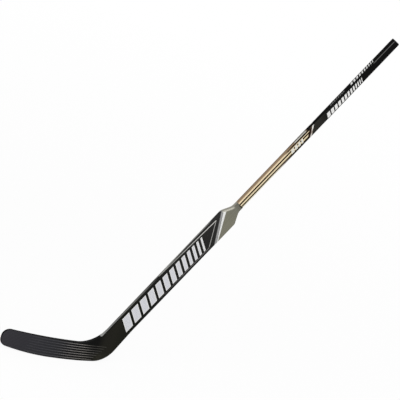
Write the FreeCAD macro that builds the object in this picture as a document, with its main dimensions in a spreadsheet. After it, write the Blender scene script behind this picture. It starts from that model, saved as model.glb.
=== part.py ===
import FreeCAD, Part
import os
import re
import Sketcher

# A foam-core hockey goalie stick in its playing position.
# The frame stands on the flat of the sole: +Z is up, +X runs from the toe to the shaft's side,
# and the blade's toe curves towards +Y, so the convex back of the stick looks along -Y.

# Driving sizes, in millimetres and degrees. Reaches are measured along the shaft from the level of the heel's
# sharp corner, and distances along the blade are measured on the sole from that corner.
SIZES = {
    # Whole stick
    "lie_angle": 59,
    "stick_length": 1480.5,
    "sole_setback": 150,
    "laminate_thickness": 1.2,
    "edge_radius": 5,
    # Shaft
    "shaft_width": 29,
    "shaft_thickness": 20.5,
    "shaft_core_width": 18,
    "butt_radius": 4.1,
    # Paddle
    "paddle_width": 80,
    "shoulder_start": 652,
    "shoulder_run": 38,
    "shoulder_crest_radius": 22,
    "shoulder_root_radius": 30,
    "shoulder_land": 14.5,
    "shoulder_block_foot": 14,
    "edge_rail_width": 8,
    # Heel
    "heel_thickness": 16,
    "heel_radius": 90,
    "heel_lift": 4.5,
    "heel_flare": 5.5,
    "heel_rocker_end": 120,
    "inner_radius": 118,
    "splice_land": 52,
    "tenon_length": 50,
    "heel_joint": 125,
    # Blade
    "blade_length": 404.5,
    "blade_height": 63.5,
    "toe_top_height": 78,
    "toe_lift": 16,
    "rocker_start": 212,
    "toe_upper_radius": 27,
    "toe_lower_radius": 28,
    "toe_thickness": 7,
    "curve_depth": 50,
    "back_curve_start": 74,
    "front_curve_start": 115,
    "blade_edge_radius": 3,
    "glue_line": 0.25,
    "top_rail_height": 6,
    "sole_strip_height": 7,
    "toe_cap_length": 38,
    "rib_level": 33,
    "rib_height": 3,
    "rib_tongue": 30,
    # How far a cutting region reaches past what it cuts
    "overrun": 10,
}

# Measured places this near each other, in millimetres, are the same place.
SAME_PLACE = 1e-5
CUBIC_MM_PER_CM3 = 1000

# The most that a rounding may take of the wall it sits on.
ROUNDING_LIMIT_SHARE = 0.45
TOE_UPPER_LIMIT_SHARE = 0.55
TOE_LOWER_LIMIT_SHARE = 0.5
BUTT_LIMIT_SHARE = 0.95

# Sizes that follow from the driving ones.
DERIVED = {
    "edge_round": f"min(edge_radius; {ROUNDING_LIMIT_SHARE} * min(heel_thickness; shaft_thickness))",
    "butt_round": f"min(butt_radius; {BUTT_LIMIT_SHARE} * edge_round)",
    "blade_edge_round": f"min(blade_edge_radius; {ROUNDING_LIMIT_SHARE} * toe_thickness)",
    "toe_face": "toe_top_height - toe_lift",
    "toe_upper_round": f"min(toe_upper_radius; {TOE_UPPER_LIMIT_SHARE} * toe_face)",
    "toe_lower_round": f"min(toe_lower_radius; {TOE_LOWER_LIMIT_SHARE} * toe_face)",
    "core_half_width": "shaft_core_width / 2",
    "shaft_core_half": "shaft_thickness / 2 - laminate_thickness",
    "heel_core_half": "heel_thickness / 2 - laminate_thickness",
    "bonded_half": "heel_core_half - glue_line",
    "rail_inset": "paddle_width / 2 - edge_rail_width",
    "blade_top_slope": "(toe_top_height - blade_height) / blade_length",
    "inner_corner_reach": (
        "(blade_height + paddle_width * (blade_top_slope * sin(lie_angle) - cos(lie_angle)))"
        " / (sin(lie_angle) + blade_top_slope * cos(lie_angle))"
    ),
    "blade_top_angle": "atan(blade_top_slope) / 1 deg",
    "inner_tangent": "inner_radius * tan((lie_angle + blade_top_angle) / 2)",
    "splice_reach": "inner_corner_reach + inner_tangent + splice_land",
    "tenon_end": "splice_reach - tenon_length",
    "shoulder_end": "shoulder_start + shoulder_run",
    "shoulder_slope": "atan((paddle_width - shaft_width) / (2 * shoulder_run)) / 1 deg",
    "paddle_top": "shoulder_end + shoulder_root_radius * tan(shoulder_slope / 2) + shoulder_land",
    "shoulder_joint": "shoulder_start - shoulder_block_foot",
    "heel_back": "heel_lift / tan(lie_angle) + heel_flare / sin(lie_angle)",
    "heel_rocker_radius": "((heel_rocker_end + heel_back) ^ 2 + heel_lift ^ 2) / (2 * heel_lift)",
    "rocker_radius": "((blade_length - rocker_start) ^ 2 + toe_lift ^ 2) / (2 * toe_lift)",
    "toe_joint": "blade_length - toe_cap_length",
    "blade_reach": "blade_length + overrun",
    "blade_span": "2 * (curve_depth + heel_thickness + overrun)",
    "back_drop": "curve_depth + heel_thickness / 2 - toe_thickness / 2",
    "front_drop": "curve_depth - heel_thickness / 2 + toe_thickness / 2",
    "back_radius": "((blade_length - back_curve_start) ^ 2 + back_drop ^ 2) / (2 * back_drop)",
    "front_radius": "((blade_length - front_curve_start) ^ 2 + front_drop ^ 2) / (2 * front_drop)",
    "heel_top": "splice_reach + paddle_width + overrun",
}

# The shaft and paddle are drawn lying along X, with Y across the wide face and Z out of the convex back.
STICK_FRAME = (
    "placement("
    "vector(sole_setback - paddle_width / 2 * sin(lie_angle); 0; paddle_width / 2 * cos(lie_angle));"
    " rotation(vector(0; 1; 0); -lie_angle) * rotation(vector(1; 0; 0); 90))"
)
# The heel and blade are drawn with X towards the toe, Y out of the convex back and Z up.
BLADE_FRAME = "placement(vector(sole_setback; 0; 0); rotation(vector(0; 0; 1); 180))"

doc = FreeCAD.newDocument("GoalieStick")
sheet = doc.addObject("Spreadsheet::Sheet", "Sizes")
for row, (alias, size) in enumerate(SIZES.items(), start=1):
    sheet.set(f"A{row}", alias)
    sheet.set(f"B{row}", str(size))
    sheet.setAlias(f"B{row}", alias)
derived = doc.addObject("App::VarSet", "Derived")


def bound(formula):
    """Return a formula with each size's name led by the object that holds it."""
    def holder(match):
        name = match.group(0)
        if name in SIZES:
            return f"Sizes.{name}"
        return f"Derived.{name}" if name in DERIVED else name
    return re.sub(r"[a-z][a-z_]*", holder, formula)


for name, formula in DERIVED.items():
    derived.addProperty("App::PropertyFloat", name)
    derived.setExpression(name, bound(formula))
doc.recompute()


def value(formula):
    """Return what a formula comes to with the present sizes."""
    return float(sheet.evalExpression(bound(formula)))


def on_blade(reach, across):
    """Return the blade-frame formulas of a point given along the shaft and across the paddle."""
    along = f"({across} + paddle_width / 2) * sin(lie_angle) - ({reach}) * cos(lie_angle)"
    height = f"({across} + paddle_width / 2) * cos(lie_angle) + ({reach}) * sin(lie_angle)"
    return along, height


def draw(body, role, name, corners, arcs=None):
    """Draw a closed outline on one of a body's planes.

    Each corner is a pair of formulas. An entry of arcs makes the side after that corner an arc
    with the radius formula given: counter-clockwise where its second value is true.
    """
    arcs = arcs or {}
    sketch = body.newObject("Sketcher::SketchObject", name)
    plane = next(feature for feature in body.Origin.OriginFeatures if feature.Role == role)
    sketch.AttachmentSupport = [(plane, "")]
    sketch.MapMode = "FlatFace"
    points = [FreeCAD.Vector(value(x), value(y), 0) for x, y in corners]
    first_end = []
    for index, start in enumerate(points):
        end = points[(index + 1) % len(points)]
        radius, left = arcs.get(index, (None, True))
        if radius is None:
            sketch.addGeometry(Part.LineSegment(start, end))
        else:
            sketch.addGeometry(flat_arc(start, end, value(radius), left))
            bind(sketch, Sketcher.Constraint("Radius", index, value(radius)), radius)
        first_end.append(1 if left else 2)
    for index, (x, y) in enumerate(corners):
        after = (index + 1) % len(corners)
        last_end = 3 - first_end[index]
        sketch.addConstraint(Sketcher.Constraint("Coincident", index, last_end, after, first_end[after]))
        at = points[index]
        bind(sketch, Sketcher.Constraint("DistanceX", -1, 1, index, first_end[index], at.x), x)
        bind(sketch, Sketcher.Constraint("DistanceY", -1, 1, index, first_end[index], at.y), y)
    return sketch


def flat_arc(start, end, radius, left):
    """Return the short arc between two points of the XY plane, with its centre left or right of the way."""
    chord = end - start
    side = FreeCAD.Vector(-chord.y, chord.x, 0).normalize()
    offset = (radius ** 2 - (chord.Length / 2) ** 2) ** 0.5
    centre = start + chord / 2 + side * (offset if left else -offset)
    circle = Part.Circle(centre, FreeCAD.Vector(0, 0, 1), radius)
    begin, finish = (start, end) if left else (end, start)
    return Part.ArcOfCircle(circle, circle.parameter(begin), circle.parameter(finish))


def bind(sketch, constraint, formula):
    """Add a dimension to a sketch and tie it to its formula."""
    index = sketch.addConstraint(constraint)
    sketch.setExpression(f"Constraints[{index}]", bound(formula))


def new_body(name):
    """Return a new empty body."""
    return doc.addObject("PartDesign::Body", name)


def pad(body, sketch, length, both_ways=True):
    """Pad a sketch by a length, split evenly to both sides of its plane or all to one side."""
    feature = body.newObject("PartDesign::Pad", f"{sketch.Name}_pad")
    feature.Profile = sketch
    feature.SideType = "Symmetric" if both_ways else "One side"
    feature.setExpression("Length", bound(length))
    doc.recompute()
    return feature


def round_edges(body, base, name, edges, radius):
    """Round the numbered edges of a body's feature."""
    feature = body.newObject("PartDesign::Fillet", name)
    feature.Base = (base, [f"Edge{number}" for number in edges])
    feature.setExpression("Radius", bound(radius))
    doc.recompute()
    return feature


def edges_where(shape, test):
    """Return the numbers of the edges whose end points all pass a test."""
    numbered = enumerate(shape.Edges, start=1)
    return [number for number, edge in numbered if all(test(vertex.Point) for vertex in edge.Vertexes)]


def close(length, formula):
    """Tell whether a measured length is what a formula comes to."""
    return abs(length - value(formula)) < SAME_PLACE


def region(name, along, across, deep):
    """Return a box that spans three pairs of formulas along X, Y and Z."""
    box = doc.addObject("Part::Box", name)
    for size, axis, (low, high) in zip(("Length", "Width", "Height"), "xyz", (along, across, deep)):
        box.setExpression(size, bound(f"({high}) - ({low})"))
        box.setExpression(f"Placement.Base.{axis}", bound(low))
    return box


def combine(kind, name, base, tool):
    """Return the common part of two shapes, or the first cut by the second, and keep their seams."""
    result = doc.addObject(kind, name)
    result.Base = base
    result.Tool = tool
    result.Refine = False
    return result


nodes = []


def node(name, base, tool, frame, kind="Part::Common"):
    """Make one piece of the stick and set it in its frame."""
    piece = combine(kind, name, base, tool)
    piece.Label = name
    piece.setExpression("Placement", bound(frame))
    nodes.append(piece)
    return piece


# The outer form of the shaft: a rounded bar from the heel's level to the butt.
shaft = new_body("shaft_form")
section = [
    ("-shaft_width / 2", "-shaft_thickness / 2"),
    ("shaft_width / 2", "-shaft_thickness / 2"),
    ("shaft_width / 2", "shaft_thickness / 2"),
    ("-shaft_width / 2", "shaft_thickness / 2"),
]
bar = pad(shaft, draw(shaft, "YZ_Plane", "shaft_section", section), "stick_length", both_ways=False)
long_edges = [
    number
    for number, edge in enumerate(bar.Shape.Edges, start=1)
    if close(edge.Length, "stick_length")
]
rounded_bar = round_edges(shaft, bar, "shaft_edges", long_edges, "edge_round")
butt_edges = edges_where(rounded_bar.Shape, lambda point: close(point.x, "stick_length"))
round_edges(shaft, rounded_bar, "butt_edges", butt_edges, "butt_round")

# The spine thins with the paddle and keeps the heel core's thickness in its tenon.
spine = new_body("spine_form")
spine_half = (
    ("tenon_end", "heel_core_half"),
    ("splice_reach", "heel_core_half"),
    ("paddle_top", "shaft_core_half"),
    ("stick_length + overrun", "shaft_core_half"),
)
spine_side = [(reach, f"-{half}") for reach, half in spine_half] + list(reversed(spine_half))
pad(spine, draw(spine, "XZ_Plane", "spine_side", spine_side), "shaft_core_width")
node("shaft_core", shaft, spine, STICK_FRAME)

# The shaft's edge plies and laminates, above the paddle.
above_paddle = ("paddle_top", "stick_length + overrun")
full_width = ("-shaft_width", "shaft_width")
core_depth = ("-shaft_core_half", "shaft_core_half")
upper_side = ("core_half_width", "shaft_width")
lower_side = ("-shaft_width", "-core_half_width")
back_depth = ("shaft_core_half", "shaft_thickness")
front_depth = ("-shaft_thickness", "-shaft_core_half")
for name, across, deep in (
    ("shaft_upper_edge_ply", upper_side, core_depth),
    ("shaft_lower_edge_ply", lower_side, core_depth),
    ("shaft_front_laminate", full_width, front_depth),
    ("shaft_back_laminate", full_width, back_depth),
):
    node(name, shaft, region(f"{name}_region", above_paddle, across, deep), STICK_FRAME)

# The outer form of the paddle: its outline, thinned towards the heel, with rounded long edges.
paddle = new_body("paddle_form")
paddle_half = (
    ("splice_reach", "paddle_width / 2"),
    ("shoulder_start", "paddle_width / 2"),
    ("shoulder_end", "shaft_width / 2"),
    ("paddle_top", "shaft_width / 2"),
)
paddle_outline = [(reach, f"-{half}") for reach, half in paddle_half] + list(reversed(paddle_half))
board = pad(paddle, draw(paddle, "XY_Plane", "paddle_outline", paddle_outline), "shaft_thickness")
crests = edges_where(board.Shape, lambda point: close(point.x, "shoulder_start"))
crested = round_edges(paddle, board, "shoulder_crests", crests, "shoulder_crest_radius")
roots = edges_where(crested.Shape, lambda point: close(point.x, "shoulder_end"))
round_edges(paddle, crested, "shoulder_roots", roots, "shoulder_root_radius")
for side, name in ((1, "back_taper"), (-1, "front_taper")):
    waste = [
        ("splice_reach - overrun", f"{side} * shaft_thickness"),
        ("splice_reach - overrun", f"{side} * heel_thickness / 2"),
        ("splice_reach", f"{side} * heel_thickness / 2"),
        ("paddle_top", f"{side} * shaft_thickness / 2"),
        ("paddle_top", f"{side} * shaft_thickness"),
    ]
    taper = paddle.newObject("PartDesign::Pocket", f"{name}_cut")
    taper.Profile = draw(paddle, "XZ_Plane", name, waste)
    taper.Type = "ThroughAll"
    taper.SideType = "Symmetric"
    doc.recompute()
heel_end = edges_where(taper.Shape, lambda point: close(point.x, "splice_reach"))
top_end = edges_where(taper.Shape, lambda point: close(point.x, "paddle_top"))
face_edges = [
    number
    for number, edge in enumerate(taper.Shape.Edges, start=1)
    if edge.BoundBox.ZLength < value("heel_core_half") and number not in heel_end + top_end
]
round_edges(paddle, taper, "paddle_edges", face_edges, "edge_round")

# Sheets of the paddle: a laminate on each face, with the core between them.
paddle_layers = {}
for name, heel_levels, top_levels in (
    ("back", ("heel_core_half", "heel_thickness"), ("shaft_core_half", "shaft_thickness")),
    ("core", ("-heel_core_half", "heel_core_half"), ("-shaft_core_half", "shaft_core_half")),
    ("front", ("-heel_thickness", "-heel_core_half"), ("-shaft_thickness", "-shaft_core_half")),
):
    layer = new_body(f"paddle_{name}_layer")
    side_view = [
        ("splice_reach", heel_levels[0]),
        ("paddle_top", top_levels[0]),
        ("paddle_top", top_levels[1]),
        ("splice_reach", heel_levels[1]),
    ]
    pad(layer, draw(layer, "XZ_Plane", f"paddle_{name}_side", side_view), "paddle_width + overrun")
    paddle_layers[name] = layer
node("paddle_front_laminate", paddle, paddle_layers["front"], STICK_FRAME)
node("paddle_back_laminate", paddle, paddle_layers["back"], STICK_FRAME)

# Between the laminates: rails outside, foam beside the spine, and blocks in the shoulders.
paddle_core = combine("Part::Common", "paddle_core_zone", paddle, paddle_layers["core"])
full_depth = ("-shaft_thickness", "shaft_thickness")
below_shoulder = ("splice_reach", "shoulder_joint")
in_shoulder = ("shoulder_joint", "paddle_top")
for name, along, inner, outer in (
    ("foam_core", below_shoulder, "core_half_width", "rail_inset"),
    ("edge_rail", below_shoulder, "rail_inset", "paddle_width"),
    ("shoulder_block", in_shoulder, "core_half_width", "paddle_width"),
):
    for side, across in (("upper", (inner, outer)), ("lower", (f"-{outer}", f"-{inner}"))):
        label = f"paddle_{side}_{name}"
        node(label, paddle_core, region(f"{label}_region", along, across, full_depth), STICK_FRAME)

# The outer form of the heel and blade: the side outline, cut to the curved plan, with rounded edges.
blade = new_body("blade_outline_form")
blade_outline = [
    on_blade("splice_reach", "-paddle_width / 2"),
    ("-heel_back", "heel_lift"),
    ("heel_rocker_end", "0"),
    ("rocker_start", "0"),
    ("blade_length", "toe_lift"),
    ("blade_length", "toe_top_height"),
    on_blade("inner_corner_reach", "paddle_width / 2"),
    on_blade("splice_reach", "paddle_width / 2"),
]
sole_arcs = {1: ("heel_rocker_radius", True), 3: ("rocker_radius", True)}
form = pad(blade, draw(blade, "XZ_Plane", "blade_outline", blade_outline, sole_arcs), "blade_span")
for name, (along, height), radius in (
    ("heel_round", blade_outline[1], "heel_radius"),
    ("toe_lower_corner", blade_outline[4], "toe_lower_round"),
    ("toe_upper_corner", blade_outline[5], "toe_upper_round"),
    ("inner_corner", blade_outline[6], "inner_radius"),
):
    corner = edges_where(form.Shape, lambda point: close(point.x, along) and close(point.z, height))
    form = round_edges(blade, form, name, corner, radius)


def blade_face(level, start, radius):
    """Return a face in plan: the flat's level, its curve's start and radius, and two levels along the curve.

    The two levels are those at the toe joint and past the far end.
    """
    toe_level, end_level = (
        f"{level} - ({radius} - sqrt(({radius}) ^ 2 - ({along} - {start}) ^ 2))"
        for along in ("toe_joint", "blade_reach")
    )
    return level, start, radius, toe_level, end_level


# Six faces in plan, from the back to the front: both sides of both skins, and of the core bonded inside.
skin_bond = "laminate_thickness + glue_line"
back_outside = blade_face("heel_thickness / 2", "back_curve_start", "back_radius")
back_inside = blade_face("heel_core_half", "back_curve_start", "(back_radius - laminate_thickness)")
back_bonded = blade_face("bonded_half", "back_curve_start", f"(back_radius - ({skin_bond}))")
front_bonded = blade_face("-bonded_half", "front_curve_start", f"(front_radius + {skin_bond})")
front_inside = blade_face("-heel_core_half", "front_curve_start", "(front_radius + laminate_thickness)")
front_outside = blade_face("-heel_thickness / 2", "front_curve_start", "front_radius")


def blade_layer(name, back, front):
    """Return a body that fills the blade's plan between two faces, each parted at the toe joint."""
    layer = new_body(f"blade_{name}_layer")
    behind_heel = "-splice_reach - overrun"
    plan = [
        (behind_heel, front[0]),
        (front[1], front[0]),
        ("toe_joint", front[3]),
        ("blade_reach", front[4]),
        ("blade_reach", back[4]),
        ("toe_joint", back[3]),
        (back[1], back[0]),
        (behind_heel, back[0]),
    ]
    front_curve = (front[2], False)
    back_curve = (back[2], True)
    arcs = {1: front_curve, 2: front_curve, 4: back_curve, 5: back_curve}
    depth = pad(layer, draw(layer, "XY_Plane", f"blade_{name}_plan", plan, arcs), "2 * heel_top")
    depth.Refine = False
    return layer


whole_layer = blade_layer("whole", back_outside, front_outside)
blade_solid = combine("Part::Common", "blade_solid", blade, whole_layer)
doc.recompute()


def reach_of(point):
    """Return how far up the shaft's line a point of the blade lies."""
    return point.z * value("sin(lie_angle)") - point.x * value("cos(lie_angle)")


def edge_round_at(point):
    """Return the rounding at a point of the edge: the paddle's at the splice, the blade's below the heel."""
    share = min(max(reach_of(point) / value("splice_reach"), 0), 1)
    return value("blade_edge_round") + share * (value("edge_round") - value("blade_edge_round"))


def stays_sharp(start, end):
    """Tell whether an edge lies in the splice, across a face, or straight through the thickness."""
    in_splice = close(reach_of(start), "splice_reach") and close(reach_of(end), "splice_reach")
    seams = ("back_curve_start", "front_curve_start", "toe_joint")
    across_face = any(close(start.x, place) and close(end.x, place) for place in seams)
    through = close(start.x - end.x, "0") and close(start.z - end.z, "0")
    return in_splice or across_face or through


rounding = []
for number, edge in enumerate(blade_solid.Shape.Edges, start=1):
    start, end = edge.firstVertex(True).Point, edge.lastVertex(True).Point
    if not stays_sharp(start, end):
        rounding.append((number, edge_round_at(start), edge_round_at(end)))
blade_form = doc.addObject("Part::Fillet", "blade_form")
blade_form.Base = blade_solid
blade_form.Edges = rounding
doc.recompute()

node("blade_front_skin", blade_form, blade_layer("front", front_inside, front_outside), BLADE_FRAME)
node("blade_back_skin", blade_form, blade_layer("back", back_outside, back_inside), BLADE_FRAME)

# Between the skins: the heel block, the foam with its rib, and hard edging all round.
core_layer = blade_layer("core", back_bonded, front_bonded)
blade_core = combine("Part::Common", "blade_core_zone", blade_form, core_layer)
blade_depth = ("-blade_span", "blade_span")
blade_rise = ("-overrun", "heel_top")
along_foam = ("heel_joint", "toe_joint")
rib_rise = ("rib_level - rib_height / 2", "rib_level + rib_height / 2")
rib_run = ("heel_joint - rib_tongue", "toe_joint")
rib_region = region("rib_region", rib_run, blade_depth, rib_rise)
node("blade_stiffening_rib", blade_core, rib_region, BLADE_FRAME)
toe_region = region("toe_region", ("toe_joint", "blade_reach"), blade_depth, blade_rise)
node("blade_toe_cap", blade_core, toe_region, BLADE_FRAME)

foam = new_body("foam_form")
foam_radius = "(rocker_radius - sole_strip_height)"
foam_outline = [
    ("heel_joint", "sole_strip_height"),
    ("rocker_start", "sole_strip_height"),
    ("toe_joint", f"rocker_radius - sqrt({foam_radius} ^ 2 - (toe_joint - rocker_start) ^ 2)"),
    ("toe_joint", "blade_height + blade_top_slope * toe_joint - top_rail_height"),
    ("heel_joint", "blade_height + blade_top_slope * heel_joint - top_rail_height"),
]
pad(foam, draw(foam, "XZ_Plane", "foam_outline", foam_outline, {1: (foam_radius, True)}), "blade_span")
blade_foam = combine("Part::Common", "blade_foam_zone", blade_core, foam)
for side, rise in (("upper", (rib_rise[1], "heel_top")), ("lower", ("-overrun", rib_rise[0]))):
    label = f"blade_{side}_foam_core"
    node(label, blade_foam, region(f"{label}_region", along_foam, blade_depth, rise), BLADE_FRAME)
for label, rise in (
    ("blade_top_rail", ("rib_level", "heel_top")),
    ("blade_sole_strip", ("-overrun", "rib_level")),
):
    band_region = region(f"{label}_region", along_foam, blade_depth, rise)
    band = combine("Part::Common", f"{label}_band", blade_core, band_region)
    node(label, band, foam, BLADE_FRAME, "Part::Cut")

# The heel block takes the spine's tenon in a through mortise, and the rib's tongue in a slot.
mortise = new_body("mortise_form")
mortise_outline = [
    on_blade("tenon_end", "-core_half_width"),
    on_blade("tenon_end", "core_half_width"),
    on_blade("splice_reach + overrun", "core_half_width"),
    on_blade("splice_reach + overrun", "-core_half_width"),
]
pad(mortise, draw(mortise, "XZ_Plane", "mortise_outline", mortise_outline), "blade_span")
heel_region = region("heel_region", ("-splice_reach - overrun", "heel_joint"), blade_depth, blade_rise)
heel_zone = combine("Part::Common", "heel_zone", blade_core, heel_region)
mortised_heel = combine("Part::Cut", "mortised_heel", heel_zone, mortise)
node("heel_block", mortised_heel, rib_region, BLADE_FRAME, "Part::Cut")

doc.recompute()

# Every object is sound and every piece is one valid solid before anything is written.
for item in doc.Objects:
    if "Invalid" in item.State or "Error" in item.State:
        raise RuntimeError(f"{item.Name} failed: {item.State}")
for piece in nodes:
    if piece.Shape.isNull() or not piece.Shape.isValid() or len(piece.Shape.Solids) != 1:
        raise RuntimeError(f"{piece.Label} is not one valid solid")

os.makedirs("parts", exist_ok=True)
for piece in nodes:
    piece.Shape.exportStep(os.path.join("parts", f"{piece.Label}.step"))
    print(f"{piece.Label}: {piece.Shape.Volume / CUBIC_MM_PER_CM3:.1f} cm3")
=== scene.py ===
"""Looks of a foam-core hockey goalie stick: its finishes, printed bars, blade ridges, studio and camera."""

import logging
import math
from dataclasses import dataclass
from enum import Enum
from typing import Any

import bpy
from mathutils import Matrix, Vector


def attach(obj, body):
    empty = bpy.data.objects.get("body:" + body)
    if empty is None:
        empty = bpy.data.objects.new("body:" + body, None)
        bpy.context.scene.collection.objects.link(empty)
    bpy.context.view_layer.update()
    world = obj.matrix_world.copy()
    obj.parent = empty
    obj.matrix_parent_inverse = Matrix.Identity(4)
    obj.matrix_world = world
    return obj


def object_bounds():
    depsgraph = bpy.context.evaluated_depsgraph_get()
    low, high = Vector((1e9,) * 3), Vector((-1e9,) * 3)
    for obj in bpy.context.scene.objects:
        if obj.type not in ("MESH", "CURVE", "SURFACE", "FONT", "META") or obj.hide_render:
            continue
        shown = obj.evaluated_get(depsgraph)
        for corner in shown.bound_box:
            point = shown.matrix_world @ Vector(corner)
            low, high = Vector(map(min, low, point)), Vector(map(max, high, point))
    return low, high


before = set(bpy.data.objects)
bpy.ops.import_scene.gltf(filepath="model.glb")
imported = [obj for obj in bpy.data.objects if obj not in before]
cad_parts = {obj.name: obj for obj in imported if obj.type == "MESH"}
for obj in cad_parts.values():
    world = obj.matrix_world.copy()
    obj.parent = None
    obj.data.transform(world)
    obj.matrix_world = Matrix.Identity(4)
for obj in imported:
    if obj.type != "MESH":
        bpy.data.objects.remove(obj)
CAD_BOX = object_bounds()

LOG = logging.getLogger("goalie_stick")
MM = 0.001
BODY = "root"
WHITE = (1.0, 1.0, 1.0, 1.0)
VECTOR_MATH = "ShaderNodeVectorMath"

Socket = bpy.types.NodeSocket
Tree = bpy.types.NodeTree
Colour = tuple[float, float, float, float]
Axes = tuple[Vector, Vector, Vector]
Inputs = dict[Any, Any] | list[Any] | tuple[Any, ...]
Span = tuple[float, float]
Triple = tuple[float, float, float]


class Face(Enum):
    """The two wide faces of the stick: the convex back and the concave front."""

    BACK = 1
    FRONT = -1


class Side(Enum):
    """The two narrow sides of the stick: the upper one runs down to the blade's inner corner."""

    UPPER = 1
    LOWER = -1


class Measure(Enum):
    """What a painted edge is measured in, in mm except for the facing."""

    ALONG = "along the shaft, from the level of the heel's corner"
    ACROSS = "across the paddle, from the shaft's middle line"
    OUT = "out of the back, from the shaft's middle plane"
    AROUND = "across the face, and on round its corners to the narrow sides"
    FACING = "how squarely the surface faces front or back, from 0 to 1"
    BLADE = "along the blade, from the heel's corner"
    HEIGHT = "above the ice"


@dataclass(frozen=True)
class StickFrame:
    """The stick's own frame: along the shaft, across the paddle and out of the back.

    Attributes:
        lie_deg: Angle of the shaft above the ice, in degrees.
        setback: Distance from the frame's origin to the heel's sharp corner, in mm.
        paddle_width: Width of the paddle, in mm.
        heel_half: Half the thickness at the heel, in mm.
        shaft_half: Half the thickness of the shaft, in mm.
        splice: Where the paddle meets the heel, in mm along the shaft.
        paddle_top: Where the paddle meets the shaft, in mm along the shaft.
    """

    lie_deg: float = 59.0
    setback: float = 150.0
    paddle_width: float = 80.0
    heel_half: float = 8.0
    shaft_half: float = 10.25
    splice: float = 149.85
    paddle_top: float = 713.63

    def axes(self) -> Axes:
        """Give the stick's own directions.

        Returns:
            Unit vectors along the shaft, across the paddle and out of the back.
        """
        lie = math.radians(self.lie_deg)
        along = Vector((math.cos(lie), 0.0, math.sin(lie)))
        across = Vector((-math.sin(lie), 0.0, math.cos(lie)))
        return along, across, Vector((0.0, -1.0, 0.0))

    def origin(self) -> Vector:
        """Return the point of the shaft's middle line that is level with the heel's corner, in metres."""
        corner = Vector((self.setback, 0.0, 0.0))
        return (corner + self.axes()[1] * (self.paddle_width / 2)) * MM

    def point(self, along: float, across: float, out: float) -> Vector:
        """Return a place on the stick in the row frame.

        Args:
            along: Distance along the shaft, in mm.
            across: Distance across the paddle, in mm.
            out: Distance out of the back, in mm.

        Returns:
            The point, in metres.
        """
        onward, sideways, outward = self.axes()
        return self.origin() + (onward * along + sideways * across + outward * out) * MM

    def taper(self) -> float:
        """Return how much half the paddle's thickness grows per length."""
        return (self.shaft_half - self.heel_half) / (self.paddle_top - self.splice)


STICK = StickFrame()


def linear(code: str) -> Colour:
    """Turn an sRGB hex colour into linear light.

    Args:
        code: Six hex digits after a hash sign.

    Returns:
        Linear red, green and blue, and an alpha of 1.
    """
    shares = [int(code[at:at + 2], 16) / 255 for at in (1, 3, 5)]
    # These numbers are the sRGB standard's own.
    return (*(s / 12.92 if s <= 0.04045 else ((s + 0.055) / 1.055) ** 2.4 for s in shares), 1.0)


def add_node(tree: Tree, kind: str, inputs: Inputs = (), output: Any = 0, **settings: Any) -> Socket:
    """Add a node with its settings and links.

    Args:
        tree: The node tree that gets the node.
        kind: Blender's name for the node's type.
        inputs: Values or sockets for its inputs, in order, or by index or name.
        output: Index or name of the output that is wanted.
        settings: Properties of the node.

    Returns:
        The output socket, or None for a tree's own output.
    """
    node = tree.nodes.new(kind)
    for name, setting in settings.items():
        setattr(node, name, setting)
    for key, value in inputs.items() if isinstance(inputs, dict) else enumerate(inputs):
        if isinstance(value, bpy.types.NodeSocket):
            tree.links.new(value, node.inputs[key])
        else:
            node.inputs[key].default_value = value
    return node.outputs[output] if node.outputs else None


def calc(tree: Tree, operation: str, *values: Any) -> Socket:
    """Add a math node.

    Args:
        tree: The node tree that gets the node.
        operation: Blender's name for the operation.
        values: Its values or sockets, in order.

    Returns:
        The result.
    """
    return add_node(tree, "ShaderNodeMath", values, operation=operation)


def remap(tree: Tree, value: Socket, low: Any, high: Any, first: Any = 0.0, last: Any = 1.0) -> Socket:
    """Map a span of values evenly to another one, and stop at its ends.

    Args:
        tree: The node tree that gets the node.
        value: What is mapped.
        low: Where the span starts.
        high: Where it ends.
        first: The result at its start.
        last: The result at its end.

    Returns:
        The result.
    """
    return add_node(tree, "ShaderNodeMapRange", [value, low, high, first, last])


def clear_nodes(owner: bpy.types.Material | bpy.types.World) -> Tree:
    """Return the node tree of a material or the world, with no nodes in it."""
    owner.use_nodes = True
    owner.node_tree.nodes.clear()
    return owner.node_tree


def add_object(name: str, data: Any) -> bpy.types.Object:
    """Return a new object that is in the scene."""
    made = bpy.data.objects.new(name, data)
    bpy.context.scene.collection.objects.link(made)
    return made


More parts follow.
